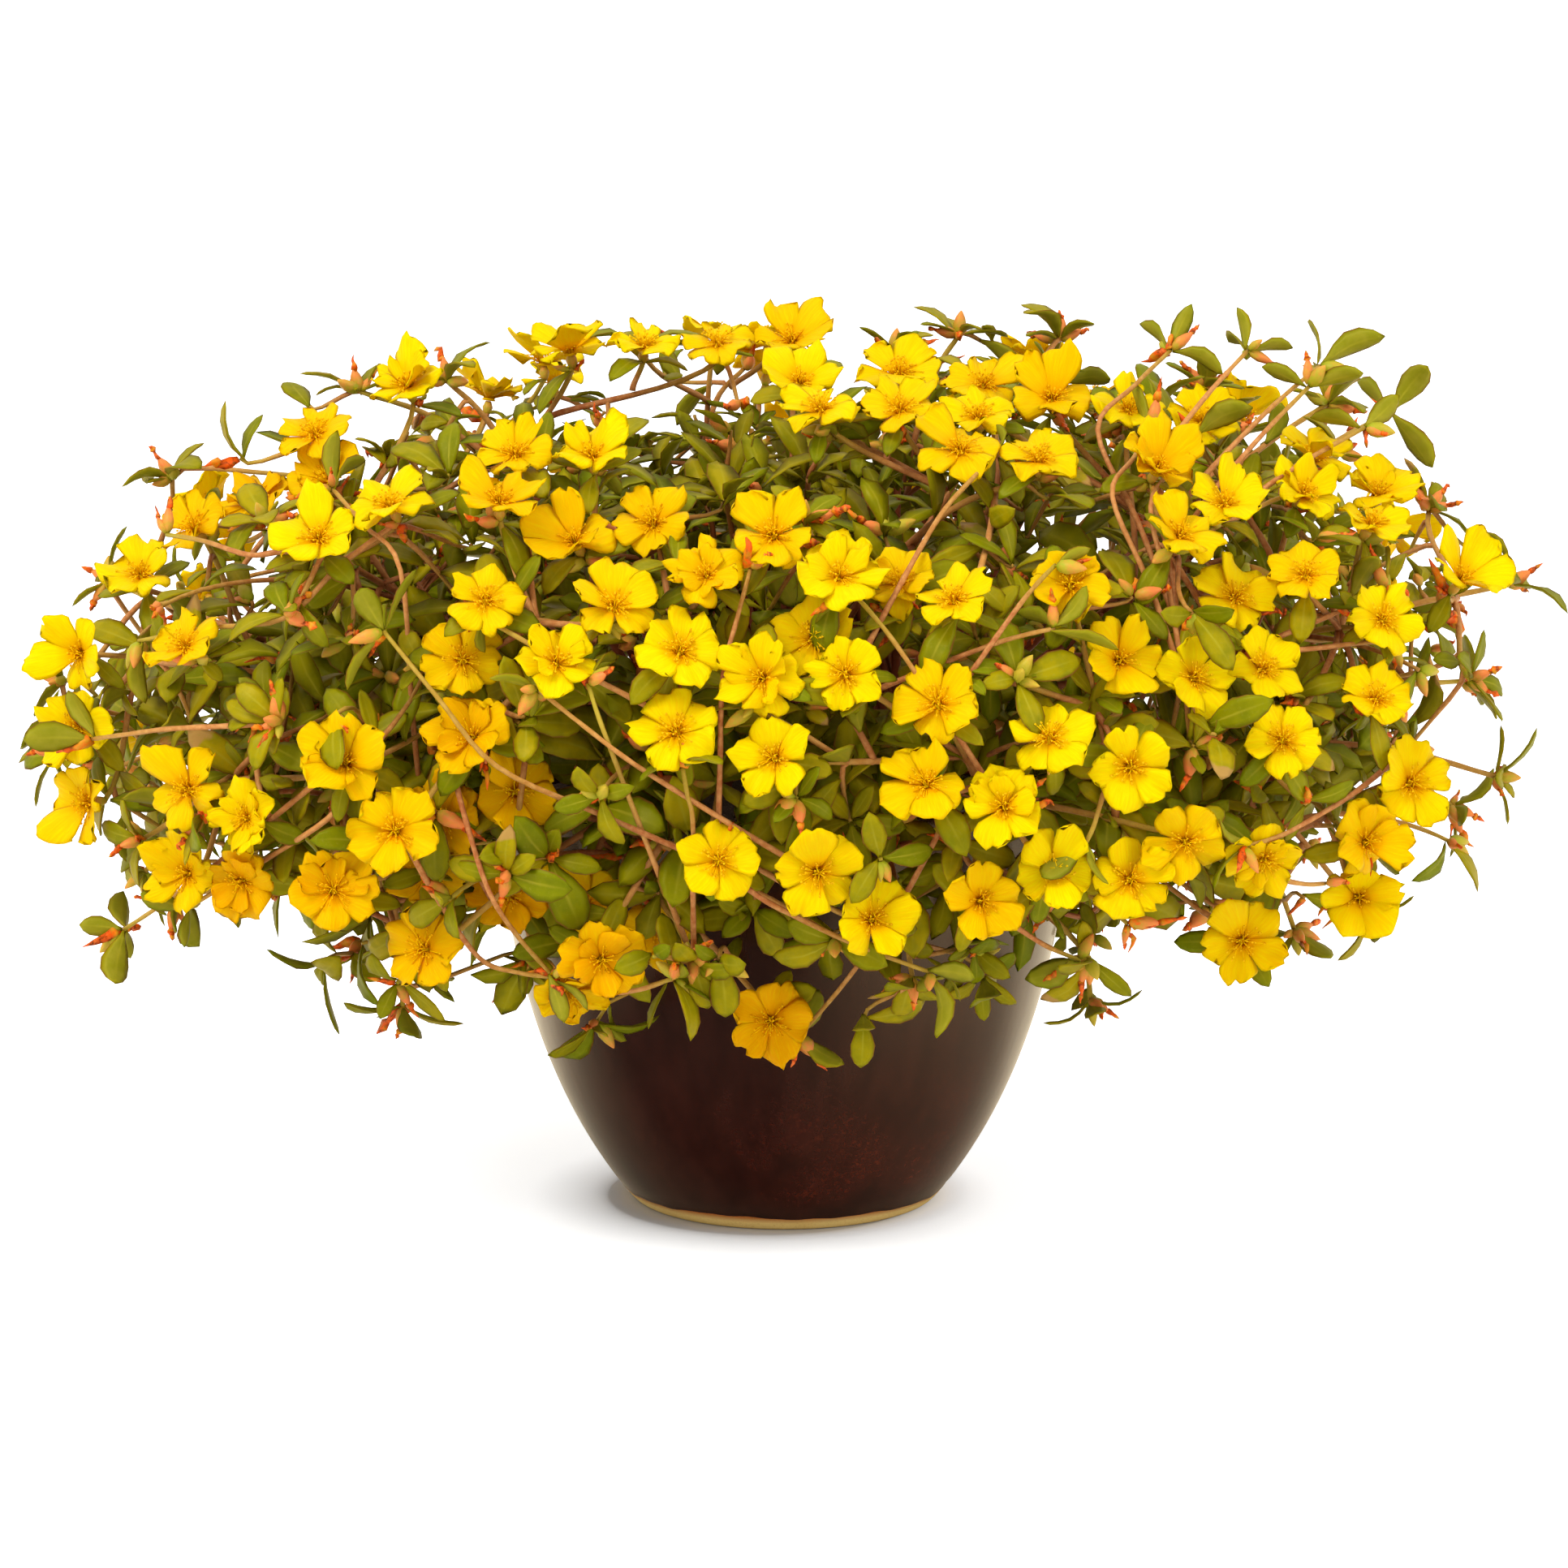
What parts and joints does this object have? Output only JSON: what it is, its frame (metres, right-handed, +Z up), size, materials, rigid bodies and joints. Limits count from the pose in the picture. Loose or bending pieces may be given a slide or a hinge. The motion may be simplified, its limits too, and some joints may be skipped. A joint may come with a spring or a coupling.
{
  "type": "potted portulaca",
  "caption": "Portulaca with open yellow blooms, planted in soil in a glazed clay bowl pot, its leafy stems arching over the rim.",
  "frame": {"origin": "middle of the pot's flat underside, which stands on the surface", "axes": "+Z up along the pot's axis, +X to the right along the plant's longest spread, -Y towards the viewer on the best side"},
  "size_m": [0.6023, 0.4783, 0.3533],
  "materials": {
    "pot_glaze": "glossy dark brown glaze with faint red-brown mottling over tan clay, bare at the foot",
    "soil": "dark crumbly potting soil",
    "plant_green": "succulent olive-green leaves with pale midribs, tan-pink stems and green to tan buds",
    "petals_lemon": "thin satin lemon-yellow petals, warmer at the centre, golden stamens",
    "petals_golden": "thin satin golden-yellow petals, orange at the centre, golden stamens"
  },
  "bodies": {
    "root": {"pot": "pot_glaze", "soil": "soil", "plant_1": "plant_green", "plant_2": "plant_green", "plant_3": "plant_green", "plant_4": "plant_green", "plant_5": "plant_green", "posy_01": "petals_lemon", "posy_02": "petals_lemon", "posy_03": "petals_lemon", "posy_04": "petals_lemon", "posy_05": "petals_lemon", "posy_06": "petals_lemon", "posy_07": "petals_lemon", "posy_08": "petals_lemon", "posy_09": "petals_lemon", "posy_10": "petals_lemon", "posy_11": "petals_golden", "posy_12": "petals_lemon", "posy_13": "petals_golden", "posy_14": "petals_golden", "posy_15": "petals_lemon", "posy_16": "petals_lemon", "posy_17": "petals_golden", "posy_18": "petals_lemon", "posy_19": "petals_lemon", "posy_20": "petals_lemon", "posy_21": "petals_lemon", "posy_22": "petals_lemon", "posy_23": "petals_lemon", "posy_24": "petals_lemon", "posy_25": "petals_lemon", "posy_26": "petals_lemon", "posy_27": "petals_lemon", "posy_28": "petals_lemon", "posy_29": "petals_lemon", "posy_30": "petals_lemon", "posy_31": "petals_lemon", "posy_32": "petals_lemon", "posy_33": "petals_lemon", "posy_34": "petals_lemon", "posy_35": "petals_lemon", "posy_36": "petals_lemon", "posy_37": "petals_lemon", "posy_38": "petals_lemon", "posy_39": "petals_lemon", "posy_40": "petals_lemon", "posy_41": "petals_golden", "posy_42": "petals_golden", "posy_43": "petals_golden", "posy_44": "petals_lemon", "posy_45": "petals_lemon", "posy_46": "petals_lemon", "posy_47": "petals_golden", "posy_48": "petals_lemon", "posy_49": "petals_lemon", "posy_50": "petals_lemon", "posy_51": "petals_lemon", "posy_52": "petals_lemon", "posy_53": "petals_lemon"}
  },
  "joints": []
}
